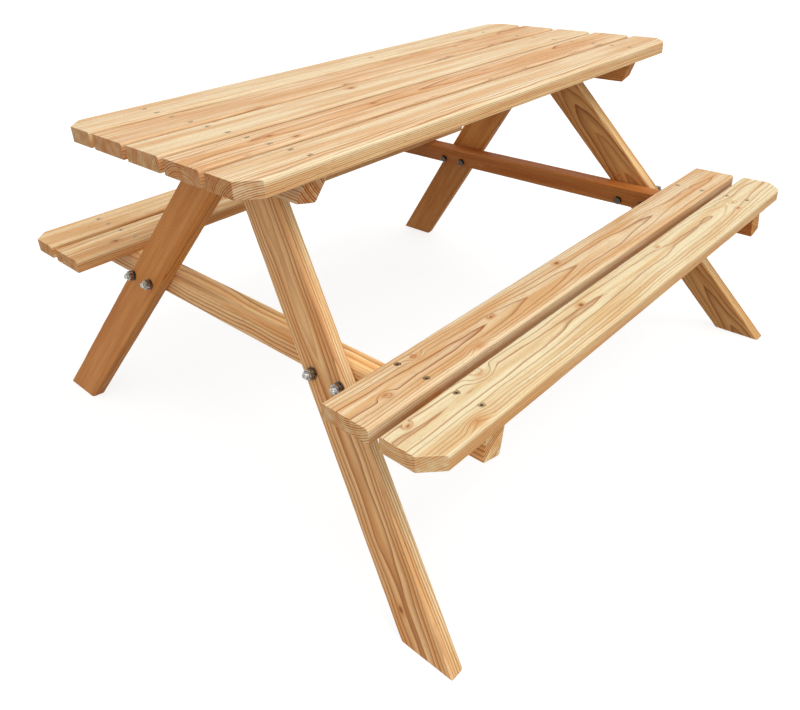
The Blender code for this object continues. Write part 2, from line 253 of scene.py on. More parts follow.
def larch_cut():
    """Planed larch, as a group that any board's material uses.

    Larch has wide pale early wood and narrow dark late wood with a sharp outer edge, which the eye reads as
    stripes on a quarter-sawn face, pointed arches on a flat-sawn one and arcs on an end.
    """
    tree = bpy.data.node_groups.new("planed larch", "ShaderNodeTree")
    sockets = (
        ("INPUT", "Vector", ("Place", "Facing", "Pith", "Slant", "Bow", "Sawn", "Ripped")),
        ("INPUT", "Float", ("Ring", "Late share", "Log", "Knot", "Swirl", "Ripped below")),
        ("INPUT", "Color", ("Early", "Early warm", "Late")),
        ("OUTPUT", "Color", ("Colour",)),
        ("OUTPUT", "Float", ("Roughness", "Relief")),
    )
    for direction, kind, names in sockets:
        for name in names:
            tree.interface.new_socket(name, in_out=direction, socket_type="NodeSocket" + kind)
    given = tree.nodes.new("NodeGroupInput").outputs
    place = given["Place"]
    log = node(tree, "VectorMath", {0: (7.3, 3.1, 5.7), "Scale": given["Log"]}, operation="SCALE")[0]

    facing = node(tree, "VectorMath", {0: given["Facing"]}, operation="ABSOLUTE")[0]
    facing = node(tree, "SeparateXYZ", {0: facing})
    end = node(tree, "MapRange", {0: facing["X"], 1: 0.5, 2: 0.95}, interpolation_type="SMOOTHSTEP")[0]

    # The pith wanders a few millimetres over a third of a metre, as a trunk does
    slow = node(tree, "VectorMath", {0: place, 1: per_millimetre(DRIFT), 2: log}, operation="MULTIPLY_ADD")[0]
    drift = node(tree, "TexNoise", {"Vector": slow, "Scale": 1.0, "Detail": 2.0, "Roughness": 0.55})["Color"]
    drift = node(tree, "VectorMath", {0: drift, 1: (0.5, 0.5, 0.5)}, operation="SUBTRACT")[0]
    drift = node(tree, "VectorMath", {0: drift, 1: (0, 5, 5), 2: place}, operation="MULTIPLY_ADD")[0]
    close = node(tree, "VectorMath", {
        0: place, 1: per_millimetre(WOBBLE), 2: log,
    }, operation="MULTIPLY_ADD")[0]
    wobble = node(tree, "TexNoise", {"Vector": close, "Scale": 1.0, "Detail": 2.0})["Color"]
    wobble = node(tree, "VectorMath", {0: wobble, 1: (0.5, 0.5, 0.5)}, operation="SUBTRACT")[0]
    drift = node(tree, "VectorMath", {0: wobble, 1: (0, 1.5, 1.5), 2: drift}, operation="MULTIPLY_ADD")[0]
    split = node(tree, "SeparateXYZ", {0: place})
    along = split["X"]
    pith = node(tree, "VectorMath", {
        0: given["Bow"], 1: along, 2: given["Slant"],
    }, operation="MULTIPLY_ADD")[0]
    pith = node(tree, "VectorMath", {0: pith, 1: along, 2: given["Pith"]}, operation="MULTIPLY_ADD")[0]
    spoke = node(tree, "VectorMath", {0: drift, 1: pith}, operation="SUBTRACT")[0]
    spoke = node(tree, "VectorMath", {0: spoke, 1: (0, 1, 1)}, operation="MULTIPLY")[0]
    radius = node(tree, "VectorMath", {0: spoke}, operation="LENGTH")["Value"]

    # Straight over the pith an arch runs out to a point
    beside = node(tree, "Math", {0: node(tree, "SeparateXYZ", {0: spoke})["Y"]}, operation="ABSOLUTE")[0]
    point = node(tree, "MapRange", {0: beside, 2: 7.0, 3: -0.55, 4: 0.0})[0]
    radius = node(tree, "Math", {0: radius, 1: point}, operation="ADD")[0]

    # Rings: good and lean years, and the bulge that the rings make round a knot
    years = node(tree, "TexNoise", {"Vector": slow, "Scale": 2.3, "Detail": 1.0})[0]
    years = node(tree, "Math", {0: years, 1: 1.8}, operation="MULTIPLY")[0]
    bulge = node(tree, "MapRange", {
        0: given["Swirl"], 1: 5.0, 2: 0.5, 3: 0.0, 4: 1.9,
    }, interpolation_type="SMOOTHERSTEP")[0]
    count = node(tree, "Math", {0: radius, 1: given["Ring"]}, operation="DIVIDE")[0]
    count = node(tree, "Math", {0: count, 1: years}, operation="ADD")[0]
    count = node(tree, "Math", {0: count, 1: bulge}, operation="ADD")[0]
    year = node(tree, "Math", {0: count}, operation="FLOOR")[0]
    season = node(tree, "Math", {0: count}, operation="FRACT")[0]
    year = node(tree, "Math", {0: year, 1: given["Log"]}, operation="ADD")[0]
    chance = node(tree, "TexWhiteNoise", {"W": year}, noise_dimensions="1D")["Value"]
    onset = node(tree, "MapRange", {0: chance, 3: -1.25, 4: -0.7})[0]
    onset = node(tree, "Math", {0: onset, 1: given["Late share"], 2: 0.95}, operation="MULTIPLY_ADD")[0]
    rise = node(tree, "MapRange", {0: season, 1: onset, 2: 0.93})[0]
    sharpness = node(tree, "MapRange", {0: end, 3: 2.0, 4: 1.6})[0]
    rise = node(tree, "Math", {0: rise, 1: sharpness}, operation="POWER")[0]
    fall = node(tree, "MapRange", {0: season, 1: 0.94, 2: 1.0, 3: 1.0, 4: 0.0})[0]
    late = node(tree, "Math", {0: rise, 1: fall}, operation="MULTIPLY")[0]
    depth = node(tree, "MapRange", {0: chance, 3: 1.0, 4: 0.3})[0]
    end_depth = node(tree, "MapRange", {0: chance, 1: 0.3, 2: 0.6, 3: 1.6, 4: 0.6})[0]
    depth = node(tree, "Mix", {0: end, 2: depth, 3: end_depth})[0]
    late = node(tree, "Math", {0: late, 1: depth}, operation="MULTIPLY", use_clamp=True)[0]
    faint = node(tree, "Math", {0: count, 1: 3.1}, operation="MULTIPLY")[0]
    faint = node(tree, "TexNoise", {"W": faint, "Scale": 1.0, "Detail": 2.0}, noise_dimensions="1D")[0]
    faint = node(tree, "MapRange", {0: faint, 1: 0.3, 2: 0.7, 3: 0.95, 4: 1.04})[0]

    # Flames of warmer wood, where resin stays in it, about one to every 15 mm of width
    streak = node(tree, "VectorMath", {
        0: drift, 1: per_millimetre(FLAME), 2: log,
    }, operation="MULTIPLY_ADD")[0]
    streak = node(tree, "TexNoise", {"Vector": streak, "Scale": 1.0, "Detail": 4.0, "Roughness": 0.6})[0]
    streak = node(tree, "MapRange", {0: streak, 1: 0.38, 2: 0.64}, interpolation_type="SMOOTHSTEP")[0]
    early = node(tree, "Mix", {0: streak, 6: given["Early"], 7: given["Early warm"]}, data_type="RGBA")[2]
    wood = node(tree, "Mix", {0: late, 6: early, 7: given["Late"]}, data_type="RGBA")[2]

    # Fibres and short resin pockets. Real ones are 0.05 mm wide, and these are 1 mm so that they show
    fine = node(tree, "VectorMath", {0: drift, 1: per_millimetre(FIBRE)}, operation="MULTIPLY")[0]
    fibre = node(tree, "TexNoise", {"Vector": fine, "Scale": 1.0, "Detail": 3.0, "Roughness": 0.6})[0]
    shade = node(tree, "MapRange", {0: fibre, 1: 0.25, 2: 0.75, 3: 0.9, 4: 1.08})[0]
    shade = node(tree, "Math", {0: shade, 1: faint}, operation="MULTIPLY")[0]
    wood = node(tree, "VectorMath", {0: wood, "Scale": shade}, operation="SCALE")[0]
    pocket = node(tree, "VectorMath", {
        0: drift, 1: per_millimetre(RESIN_POCKET), 2: log,
    }, operation="MULTIPLY_ADD")[0]
    pocket = node(tree, "TexNoise", {"Vector": pocket, "Scale": 1.0, "Detail": 0.0})[0]
    pocket = node(tree, "MapRange", {0: pocket, 1: 0.70, 2: 0.78, 3: 0.0, 4: 0.3})[0]
    wood = node(tree, "Mix", {0: pocket, 6: wood, 7: given["Late"]}, data_type="RGBA")[2]

    # Knots: amber wood round them, and a heart that darkens softly
    halo = node(tree, "MapRange", {
        0: given["Knot"], 1: 3.3, 2: 0.6, 3: 0.0, 4: 0.7,
    }, interpolation_type="SMOOTHSTEP")[0]
    wood = node(tree, "Mix", {0: halo, 6: wood, 7: linear(KNOT_AMBER)}, data_type="RGBA")[2]
    heart = node(tree, "MapRange", {
        0: given["Knot"], 1: 1.4, 2: 0.4, 3: 0.0, 4: 0.85,
    }, interpolation_type="SMOOTHSTEP")[0]
    wood = node(tree, "Mix", {0: heart, 6: wood, 7: linear(KNOT_HEART)}, data_type="RGBA")[2]

    # A sawn end gives back another share of the light than a planed face does; its tint is partly that and
    # partly painted light and shade. A ripped edge's tint is painted light and shade: it pales narrow faces
    # that stand in the light and darkens those that stand in the gaps. A rounded edge is rubbed paler.
    sawn = node(tree, "VectorMath", {0: wood, 1: given["Sawn"]}, operation="MULTIPLY")[0]
    ripped = node(tree, "VectorMath", {0: wood, 1: given["Ripped"]}, operation="MULTIPLY")[0]
    wood = node(tree, "Mix", {0: end, 6: wood, 7: sawn}, data_type="RGBA")[2]
    edge = node(tree, "MapRange", {0: facing["Y"], 1: 0.7, 2: 0.97}, interpolation_type="SMOOTHSTEP")[0]
    # Painted shade and light: the edge tint grows from a little near the show face to full strength lower
    # down, so a narrow face in a gap darkens towards its bottom
    below = node(tree, "Math", {0: split["Z"], 1: given["Ripped below"]}, operation="ADD")[0]
    below = node(tree, "MapRange", {0: below, 1: 0.0, 2: -5.0, 3: 0.15, 4: 1.0})[0]
    edge = node(tree, "Math", {0: edge, 1: below}, operation="MULTIPLY")[0]
    wood = node(tree, "Mix", {0: edge, 6: wood, 7: ripped}, data_type="RGBA")[2]
    arris = node(tree, "Math", {0: facing["Y"], 1: facing["Z"]}, operation="MULTIPLY")[0]
    arris = node(tree, "MapRange", {0: arris, 1: 0.1, 2: 0.5, 3: 0.0, 4: 0.3})[0]
    wood = node(tree, "Mix", {0: arris, 6: wood, 7: given["Early"]}, data_type="RGBA")[2]

    matt = node(tree, "MapRange", {0: fibre, 1: 0.3, 2: 0.7, 3: 0.56, 4: 0.7})[0]
    matt = node(tree, "Math", {0: end, 1: 0.15, 2: matt}, operation="MULTIPLY_ADD")[0]
    matt = node(tree, "Math", {0: late, 1: -0.06, 2: matt}, operation="MULTIPLY_ADD")[0]
    relief = node(tree, "Math", {0: late, 1: 0.6, 2: fibre}, operation="MULTIPLY_ADD")[0]
    relief = node(tree, "Math", {0: heart, 1: -0.6, 2: relief}, operation="MULTIPLY_ADD")[0]
    result = tree.nodes.new("NodeGroupOutput").inputs
    for name, socket in (("Colour", wood), ("Roughness", matt), ("Relief", relief)):
        tree.links.new(socket, result[name])
    return tree


def larch(name, cut, axes, grain):
    """Planed larch of one board with these axes, from where its pith ran, its rings and its knots."""
    material, tree = bare_material(name)
    table = node(tree, "TexCoord")
    turn = axes.to_euler()
    place = node(tree, "Mapping", {
        "Vector": table["Object"],
        "Location": axes.translation,
        "Rotation": turn,
        "Scale": (0.001, 0.001, 0.001),
    }, vector_type="TEXTURE")[0]
    facing = node(tree, "Mapping", {"Vector": table["Normal"], "Rotation": turn}, vector_type="TEXTURE")[0]
    ragged = node(tree, "VectorMath", {0: place, "Scale": 0.1}, operation="SCALE")[0]
    ragged = node(tree, "TexNoise", {"Vector": ragged, "Scale": 1.0, "Detail": 2.0})["Color"]
    ragged = node(tree, "VectorMath", {0: ragged, 1: KNOT_STRAY, 2: place}, operation="MULTIPLY_ADD")[0]
    knot = swirl = 100.0
    for x, y, radius, dark in grain.get("knots", ()):
        scale = (1 / (KNOT_LENGTH * radius), 1 / radius, KNOT_DEPTH_SCALE)
        shift = (-(x + KNOT_STRAY[0] / 2) * scale[0], -(y + KNOT_STRAY[1] / 2) * scale[1], 0)
        away = node(tree, "Mapping", {"Vector": ragged, "Location": shift, "Scale": scale})[0]
        away = node(tree, "VectorMath", {0: away}, operation="LENGTH")["Value"]
        bent = node(tree, "Math", {0: away, 1: 2.6 * dark}, operation="ADD")[0]
        stained = node(tree, "Math", {0: away, 1: 1.6 * (1 - dark)}, operation="ADD")[0]
        swirl = node(tree, "Math", {0: bent, 1: swirl}, operation="MINIMUM")[0]
        knot = node(tree, "Math", {0: stained, 1: knot}, operation="MINIMUM")[0]
    early, warm, late = (linear(tone) for tone in TONES[grain["tone"]])
    y, z = grain["pith"]
    slant_y, slant_z = grain["slant"]
    wood = node(tree, "Group", {
        "Place": place,
        "Facing": facing,
        "Pith": (0, y, z),
        "Slant": (0, slant_y, slant_z),
        "Bow": (0, 0, grain.get("bow", 0) * 1e-6),
        "Ring": grain["ring"],
        "Late share": grain["late"],
        "Log": grain["log"],
        "Knot": knot,
        "Swirl": swirl,
        "Early": early,
        "Early warm": warm,
        "Late": late,
        "Sawn": TINTS[grain["end"]],
        "Ripped": TINTS[grain["edge"]],
        "Ripped below": grain.get("edge_below", EDGE_BELOW),
    }, node_tree=cut)
    bump = node(tree, "Bump", {"Height": wood["Relief"], "Strength": 0.5, "Distance": 0.0004})[0]
    shader = node(tree, "BsdfPrincipled", {
        "Base Color": wood["Colour"],
        "Roughness": wood["Roughness"],
        "Normal": bump,
        "IOR": 1.5,
        "Specular IOR Level": 0.25,
    })[0]
    node(tree, "OutputMaterial", {"Surface": shader})
    return material


def zinc_plated_steel(name, dull_and_dark_reflection, bright, level, painted_shade, roughness):
    """Zinc plate over rolled steel: a cool grey metal, yellowed on screws, softly mottled, with a satin sheen.
    The dark end of its mottle is partly painted reflection, standing for dark surroundings for the metal to
    mirror.

    Below a level on the piece's own axis, in millimetres, it goes towards dark brown: painted shade in a
    screw's recess, and painted shade and reflection on a bolt's head.
    """
    material, tree = bare_material(name)
    place = node(tree, "TexCoord")["Object"]
    place = node(tree, "VectorMath", {0: place, "Scale": 1000.0}, operation="SCALE")[0]
    mottle = node(tree, "TexNoise", {"Vector": place, "Scale": 0.7, "Detail": 4.0, "Roughness": 0.65})[0]
    spread = node(tree, "MapRange", {0: mottle, 1: 0.35, 2: 0.65})[0]
    colour = node(tree, "Mix", {0: spread, 6: linear(dull_and_dark_reflection), 7: linear(bright)}, data_type="RGBA")[2]
    # Painted shade: below the level the colour is mixed towards a dark brown, in a screw's recess and on a
    # bolt's head
    height = node(tree, "SeparateXYZ", {0: place})["Z"]
    dark = node(tree, "MapRange", {0: height, 1: level, 2: level - 0.2, 3: 0.0, 4: painted_shade})[0]
    colour = node(tree, "Mix", {0: dark, 6: colour, 7: linear(PAINTED_SHADE_BROWN)}, data_type="RGBA")[2]
    rough = node(tree, "MapRange", {0: mottle, 1: 0.3, 2: 0.7, 3: roughness - 0.08, 4: roughness + 0.08})[0]
    grit = node(tree, "TexNoise", {"Vector": place, "Scale": 4.0, "Detail": 2.0})[0]
    bump = node(tree, "Bump", {"Height": grit, "Strength": 0.25, "Distance": 0.00008})[0]
    shader = node(tree, "BsdfPrincipled", {
        "Base Color": colour,
        "Metallic": 1.0,
        "Roughness": rough,
        "Normal": bump,
    })[0]
    node(tree, "OutputMaterial", {"Surface": shader})
    return material


# Joinery


def frame_matrix(end):
    """Places an end frame's axes in the table: U across it, V up its boards and W out through them."""
    lean_sin = math.sin(LEAN)
    lean_cos = math.cos(LEAN)
    return Matrix((
        (0, -end * lean_sin, end * lean_cos, end * FRAME_X),
        (end, 0, 0, 0),
        (0, lean_cos, lean_sin, BATTEN_TOP),
        (0, 0, 0, 1),
    ))


def height_to_v(height, w):
    """V of the point at W and at a height above the floor."""
    return (height - BATTEN_TOP - w * math.sin(LEAN)) / math.cos(LEAN)


def leg_outer_u(v):
    """Distance at V from the middle of the frame to a leg's outer edge."""
    return LEG_HEAD_SPREAD / 2 - LEG_SLOPE * v


BATTEN_UNDERSIDE_V = height_to_v(BATTEN_TOP, BATTEN_INNER_W) - BATTEN_HEIGHT
BEAM_UNDERSIDE_V = height_to_v(BEAM_TOP, BEAM_INNER_W) - BEAM_HEIGHT


def put_in_order(bm):
    """Sorts a bmesh's vertices and faces by place to a micrometre, so that every run makes the same board."""
    verts = sorted(bm.verts, key=lambda vert: tuple(round(c, 6) for c in vert.co))
    spots = [vert.co.copy() for vert in verts]
    rank = {vert: i for i, vert in enumerate(verts)}
    faces = []
    for face in bm.faces:
        corners = [rank[vert] for vert in face.verts]
        first = corners.index(min(corners))
        faces.append(corners[first:] + corners[:first])
    bm.clear()
    verts = [bm.verts.new(spot) for spot in spots]
    for corners in sorted(faces):
        bm.faces.new([verts[i] for i in corners])
    bm.normal_update()


def prism(outline, low, high):
    """A solid with this outline in the first two axes, from low to high along the third."""
    bm = bmesh.new()
    face = bm.faces.new([bm.verts.new((a, b, low)) for a, b in outline])
    extruded = bmesh.ops.extrude_face_region(bm, geom=[face])["geom"]
    moved = [item for item in extruded if isinstance(item, bmesh.types.BMVert)]
    bmesh.ops.translate(bm, verts=moved, vec=(0, 0, high - low))
    bmesh.ops.recalc_face_normals(bm, faces=bm.faces)
    put_in_order(bm)
    return bm


def saw(bm, point, normal):
    """Cuts off what lies past a plane, on its normal's side, and closes the cut."""
    whole = bm.verts[:] + bm.edges[:] + bm.faces[:]
    cut = bmesh.ops.bisect_plane(bm, geom=whole, plane_co=point, plane_no=normal, clear_outer=True)
    rim = [item for item in cut["geom_cut"] if isinstance(item, bmesh.types.BMEdge)]
    bmesh.ops.contextual_create(bm, geom=rim)


def saw_level(bm, height, side):
    """Saws a piece of a frame level at a height, taking off what is above it or, at -1, below it."""
    normal = Vector((0, math.cos(LEAN), math.sin(LEAN)))
    saw(bm, (0, height_to_v(height, 0), 0), side * normal)


def round_arrises(bm, direction, show_radius, back_radius):
    """Rounds the edges that run along a direction, as a cutter does: the show face's, then the back's."""
    along = Vector(direction).normalized()
    heights = [vert.co.z for vert in bm.verts]
    for level, radius in ((max(heights), show_radius), (min(heights), back_radius)):
        edges = []
        for edge in bm.edges:
            near, far = (vert.co for vert in edge.verts)
            level_with = max(abs(near.z - level), abs(far.z - level)) < SAME_PLACE
            if level_with and abs((far - near).normalized().dot(along)) > SAME_DIRECTION:
                edges.append(edge)
        bmesh.ops.bevel(bm, geom=edges, offset=radius, segments=ARRIS_STEPS, profile=0.5, affect="EDGES")


def ease_saw_cuts(bm):
    """Takes the sharpness off the rims of a board's sawn ends, as a pass of sandpaper does."""
    bm.normal_update()
    rims = {}
    for face in bm.faces:
        if abs(face.normal.x) > SAWN_FACING and face.calc_area() > SAWN_AREA:
            for edge in face.edges:
                if edge.is_manifold and edge.calc_face_angle() > SAWN_SHARPNESS:
                    rims[edge] = True
    bmesh.ops.bevel(bm, geom=list(rims), offset=SAWN_ARRIS, segments=2, profile=0.5, affect="EDGES")


def turned(bm, place, profile, sides):
    """Adds a solid turned round the place's Z axis from (radius, height) pairs, ending on the axis."""
    turn = 2 * math.pi / sides
    rings = []
    for radius, height in profile:
        ring = []
        for i in range(sides if radius else 1):
            point = Vector((radius * math.cos(i * turn), radius * math.sin(i * turn), height))
            ring.append(bm.verts.new(place @ point))
        rings.append(ring)
    skin(bm, rings)


def skin(bm, rings):
    """Joins each ring of vertices to the next with faces. A ring of one vertex is a point."""
    for near, far in zip(rings, rings[1:]):
        for i in range(max(len(near), len(far))):
            corners = []
            for verts, step in ((near, i), (near, i + 1), (far, i + 1), (far, i)):
                vert = verts[step % len(verts)]
                if vert not in corners:
                    corners.append(vert)
            bm.faces.new(corners)


def screw_drills(spots):
    """Cutters for countersunk screws driven down from spots of the table."""
    bm = bmesh.new()
    head = COUNTERSINK / 2
    shank = SCREW_HOLE / 2
    profile = [
        (0, head),
        (head, head),
        (head, -COUNTERSINK_STRAIGHT),
        (shank, shank - head - COUNTERSINK_STRAIGHT),
        (shank, -SCREW_HOLE_LENGTH),
        (0, -SCREW_HOLE_LENGTH),
    ]
    for spot in spots:
        turned(bm, Matrix.Translation(spot), profile, DRILL_SIDES)
    return bm


def bolt_drills(joints, frame_place):
    """Cutters for a frame's bolts, in the table's axes."""
    bm = bmesh.new()
    radius = BOLT_HOLE / 2
    low = BOLT_DRILL_START
    high = BOLT_DRILL_STOP
    for _, spot, inner_w, _ in joints:
        place = frame_place @ Matrix.Translation((*spot, inner_w))
        turned(bm, place, [(0, low), (radius, low), (radius, high), (0, high)], DRILL_SIDES)
    return bm


def leg_joints(side):
    """The bolted joints of one leg: name, U and V of the bolt, and W of the wood's two outer faces."""
    low_v = BEAM_UNDERSIDE_V + BOLT_RISE
    high_v = (height_to_v(BATTEN_TOP, BATTEN_OUTER_W) + BATTEN_UNDERSIDE_V) / 2
    outer_u = leg_outer_u(low_v) - BOLT_OUTER_MARGIN
    inner_u = leg_outer_u(low_v) - LEG_WIDTH_ACROSS + BOLT_INNER_MARGIN
    head_u = leg_outer_u(high_v) / 2
    return [
        ("outer", (side * outer_u, low_v), BEAM_INNER_W, 0),
        ("inner", (side * inner_u, low_v), BEAM_INNER_W, 0),
        ("head", (side * head_u, high_v), -LEG_THICKNESS, BATTEN_OUTER_W),
    ]


def mesh_object(name, bm, place, material):
    """Turns a bmesh in the object's own axes into a smooth-shaded object at its place."""
    bmesh.ops.recalc_face_normals(bm, faces=bm.faces)
    if bm.calc_volume(signed=True) < 0:
        bmesh.ops.reverse_faces(bm, faces=bm.faces)
    mesh = bpy.data.meshes.new(name)
    bm.to_mesh(mesh)
    bm.free()
    mesh.shade_smooth()
    mesh.set_sharp_from_angle(angle=SHARP_EDGE)
    obj = bpy.data.objects.new(name, mesh)
    obj.matrix_world = place
    bpy.context.scene.collection.objects.link(obj)
    if material:
        mesh.materials.append(material)
    return obj


def wear(bm, seed):
    """Wears the wood inwards: rounded edges by up to half a millimetre, planed faces hardly."""
    shift = Vector((seed * 3.7, seed * 1.3, 0))
    bm.normal_update()
    for vert in bm.verts:
        facing = vert.normal
        arris = min(1, 4 * facing.y**2 * facing.z**2)
        broad = noise.noise(Vector([c * n for c, n in zip(vert.co, BROAD_HOLLOWS)]) + shift)
        close = noise.noise(Vector([c * n for c, n in zip(vert.co, CLOSE_HOLLOWS)]) - shift)
        deep = arris * ARRIS_WEAR * max(0, 0.35 + 0.5 * broad + 0.6 * close)
        vert.co -= facing * (deep + FACE_WEAR * (0.5 + 0.5 * broad))


def make_board(node_name, shape, place, drills, grain, cut):
    """Drills a board drawn in the table's axes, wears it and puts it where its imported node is.

    place is the board's own axes in the table, and drills holds closed shapes in the table's axes.
    """
    shape.transform(place.inverted())
    drills.transform(place.inverted())
    put_in_order(shape)
    blank = mesh_object("blank", shape, Matrix(), None)
    drill = mesh_object("drill", drills, Matrix(), None)
    boring = blank.modifiers.new("holes", "BOOLEAN")
    boring.operation = "DIFFERENCE"
    boring.solver = "EXACT"
    boring.object = drill
    graph = bpy.context.evaluated_depsgraph_get()
    bm = bmesh.new()
    bm.from_object(blank, graph)
    for spent in (blank, drill):
        bpy.data.meshes.remove(spent.data)
    put_in_order(bm)
    ease_saw_cuts(bm)
    put_in_order(bm)
    low = min(vert.co.x for vert in bm.verts)
    high = max(vert.co.x for vert in bm.verts)
    stations = int((high - low) / STATION)
    for i in range(1, stations):
        x = low + (high - low) * i / stations
        whole = bm.verts[:] + bm.edges[:] + bm.faces[:]
        bmesh.ops.bisect_plane(bm, geom=whole, plane_co=(x, 0, 0), plane_no=(1, 0, 0))
    wear(bm, grain["log"])
    bm.transform(place)
    board = mesh_object("larch_" + node_name, bm, Matrix(), larch("larch " + node_name, cut, place, grain))
    flat = board.modifiers.new("flat faces", "WEIGHTED_NORMAL")
    flat.keep_sharp = True
    flat.weight = 100
    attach(board, "root")
    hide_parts(node_name)


# Boards


def slat_outline(length, width, clipped_side):
    """Outline round a slat's middle, with both corners cut off on the clipped side of Y."""
    outline = []
    for x_side, y_side in ((-1, -1), (1, -1), (1, 1), (-1, 1)):
        x = x_side * length / 2
        y = y_side * width / 2
        if y_side != clipped_side:
            outline.append((x, y))
            continue
        clip = [(x, y - y_side * CORNER_CLIP), (x - x_side * CORNER_CLIP, y)]
        outline += clip if x_side == y_side else reversed(clip)
    return outline


def slat_screws(node_name, clipped_side, screw_x):
    """Where a slat's four screws stand: on a clipped side as far in as the clip reaches."""
    low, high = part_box(node_name)
    spots = []
    for end in (-1, 1):
        for side in (-1, 1):
            margin = CORNER_CLIP if side == clipped_side else SCREW_MARGIN
            y = (low.y if side < 0 else high.y) - side * margin
            spots.append((end * screw_x, y, high.z))
    return spots


def add_slat(node_name, clipped_side, screw_x, arris, grain, cut):
    low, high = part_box(node_name)
    size = high - low
    place = Matrix.Translation(((low.x + high.x) / 2, (low.y + high.y) / 2, high.z))
    bm = prism(slat_outline(size.x, size.y, clipped_side), -size.z, 0)
    round_arrises(bm, (1, 0, 0), arris, LOWER_ARRIS)
    bm.transform(place)
    drills = screw_drills(slat_screws(node_name, clipped_side, screw_x))
    make_board(node_name, bm, place, drills, grain, cut)


def add_leg(node_name, end, hand, grain, cut):
    """A slanted board, level at floor and head, plumb at the toe and where it meets its twin."""
    side = end * hand
    frame_place = frame_matrix(end)
    low = height_to_v(0, 0) - LEG_WIDTH
    high = LEG_WIDTH
    outline = [
        (side * leg_outer_u(low), low),
        (side * leg_outer_u(high), high),
        (side * (leg_outer_u(high) - LEG_WIDTH_ACROSS), high),
        (side * (leg_outer_u(low) - LEG_WIDTH_ACROSS), low),
    ]
    bm = prism(outline, -LEG_THICKNESS, 0)
    round_arrises(bm, (side * LEG_SLOPE, -1, 0), FRAME_ARRIS, FRAME_ARRIS)
    saw_level(bm, 0, -1)
    saw_level(bm, BATTEN_TOP, 1)
    saw(bm, (side * CONTACT_GAP / 2, 0, 0), (-side, 0, 0))
    saw(bm, (side * FEET_SPREAD / 2, 0, 0), (side, 0, 0))
    bm.transform(frame_place)
    along = Vector((side * LEG_SLOPE, -1, 0)).normalized()
    out = Vector((0, 0, 1))
    across = out.cross(along)
    middle = Vector((side * (leg_outer_u(LEG_MIDDLE_V) - LEG_WIDTH_ACROSS / 2), LEG_MIDDLE_V, 0))
    axes = Matrix.Translation(middle) @ Matrix((along, across, out)).transposed().to_4x4()
    drills = bolt_drills(leg_joints(side), frame_place)
    make_board(node_name, bm, frame_place @ axes, drills, grain, cut)


def add_batten(node_name, end, top_spots, grain, cut):
    """The bar under the top, outside the legs, sawn level on top and slanted at its ends."""
    frame_place = frame_matrix(end)
    top_v = height_to_v(BATTEN_TOP, BATTEN_INNER_W)
    half = TOP_WIDTH / 2 - BATTEN_SIDE_INSET
    foot = half - BATTEN_END_SLANT
    outline = [(-half, top_v), (-foot, BATTEN_UNDERSIDE_V), (foot, BATTEN_UNDERSIDE_V), (half, top_v)]
    bm = prism(outline, BATTEN_INNER_W, BATTEN_OUTER_W)
    saw_level(bm, BATTEN_TOP, 1)
    round_arrises(bm, (1, 0, 0), FRAME_ARRIS, FRAME_ARRIS)
    bm.transform(frame_place)
    drills = bolt_drills([leg_joints(side)[-1] for side in (-1, 1)], frame_place)
    add_drills(drills, screw_drills(top_spots))
    place = frame_place @ Matrix.Translation((0, (top_v + BATTEN_UNDERSIDE_V) / 2, BATTEN_OUTER_W))
    make_board(node_name, bm, place, drills, grain, cut)


def add_beam(node_name, end, bench_spots, grain, cut):
    """The bar that carries both benches, inside the legs, sawn level on top."""
    frame_place = frame_matrix(end)
    top_v = height_to_v(BEAM_TOP, BEAM_INNER_W)
    half = BEAM_LENGTH / 2
    outline = [(-half, top_v), (-half, BEAM_UNDERSIDE_V), (half, BEAM_UNDERSIDE_V), (half, top_v)]
    bm = prism(outline, BEAM_INNER_W, BEAM_OUTER_W)
    saw_level(bm, BEAM_TOP, 1)
    round_arrises(bm, (1, 0, 0), FRAME_ARRIS, FRAME_ARRIS)
    bm.transform(frame_place)
    drills = bolt_drills(leg_joints(-1)[:2] + leg_joints(1)[:2], frame_place)
    add_drills(drills, screw_drills(bench_spots))
    place = frame_place @ Matrix.Translation((0, (top_v + BEAM_UNDERSIDE_V) / 2, BEAM_OUTER_W))
    make_board(node_name, bm, place, drills, grain, cut)


def add_drills(drills, more):
    """Adds the closed shapes of one bmesh to another and frees it."""
    spare = bpy.data.meshes.new("spare drills")
    more.to_mesh(spare)
    more.free()
    drills.from_mesh(spare)
    bpy.data.meshes.remove(spare)


# Bolts, nuts, washers and screws


def round_ring(bm, radius, height, sides=STEEL_SIDES):
    """Vertices evenly round the Z axis. The radius and the height are numbers or functions of the angle."""
    verts = []
    for i in range(sides):
        angle = 2 * math.pi * i / sides
        r = radius(angle) if callable(radius) else radius
        z = height(angle) if callable(height) else height
        verts.append(bm.verts.new((r * math.cos(angle), r * math.sin(angle), z)))
    return verts


def hexagon_radius(angle):
    """A hexagon's outline, with its corners turned off a little as on a forged nut."""
    middle = HEXAGON_WIDTH / 2
    return min(middle / math.cos(angle % (math.pi / 3) - math.pi / 6), HEXAGON_CORNER * middle)


def hexagon_edge(height, down):
    """Height of the curved edge that a 30 degree chamfer leaves on a hexagon's sides."""
    slope = math.tan(math.pi / 6)
    return lambda angle: height - down * max(0, hexagon_radius(angle) - HEXAGON_RIM) * slope


